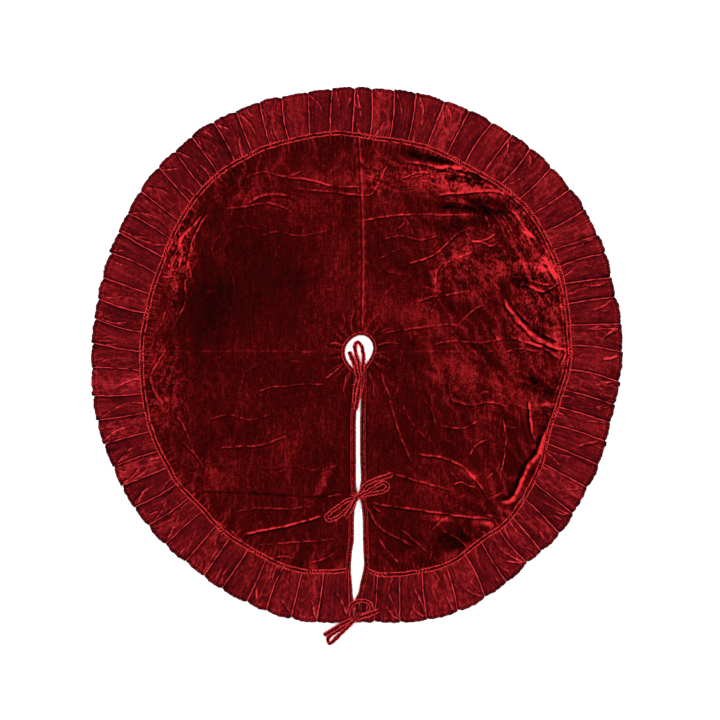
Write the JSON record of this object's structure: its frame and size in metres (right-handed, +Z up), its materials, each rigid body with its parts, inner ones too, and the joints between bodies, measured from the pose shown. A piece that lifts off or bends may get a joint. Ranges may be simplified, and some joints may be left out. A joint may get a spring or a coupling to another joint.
{
  "type": "tree skirt",
  "caption": "Round velvet tree skirt lying flat, with a knife-pleated ruffle, a central trunk hole, a front slit with plackets and tie bows.",
  "frame": {"origin": "on the floor, at the middle of the flat disc's bounding box", "axes": "+Z up from the floor through the skirt; the slit runs towards -Y; +X is to the right when the slit faces the viewer"},
  "size_m": [1.4192, 1.4825, 0.0174],
  "materials": {
    "velvet_top": "crushed silk-look velvet, dark burgundy with a satin sheen and flattened patches",
    "velvet_ruffle": "crushed velvet in knife pleats, brighter on the fold crests",
    "velvet_trim": "velvet strip with rows of machine stitching",
    "velvet_tie": "flat turned velvet tie, pile on both faces",
    "lining": "plain-weave polyester lining, matt"
  },
  "bodies": {
    "root": {"velvet_panel_left": "velvet_top", "velvet_panel_right": "velvet_top", "lining_left": "lining", "lining_right": "lining", "ruffle_strip_1": "velvet_ruffle", "ruffle_strip_2": "velvet_ruffle", "ruffle_strip_3": "velvet_ruffle", "ruffle_strip_4": "velvet_ruffle", "ruffle_strip_5": "velvet_ruffle", "ruffle_strip_6": "velvet_ruffle", "ruffle_strip_7": "velvet_ruffle", "seam_band_left": "velvet_trim", "seam_band_right": "velvet_trim", "placket_left": "velvet_trim", "placket_right": "velvet_trim", "hole_binding": "velvet_trim", "tie_neck_left": "velvet_tie", "tie_neck_right": "velvet_tie", "tie_mid_left": "velvet_tie", "tie_mid_right": "velvet_tie", "tie_hem_left": "velvet_tie", "tie_hem_right": "velvet_tie"}
  },
  "joints": []
}
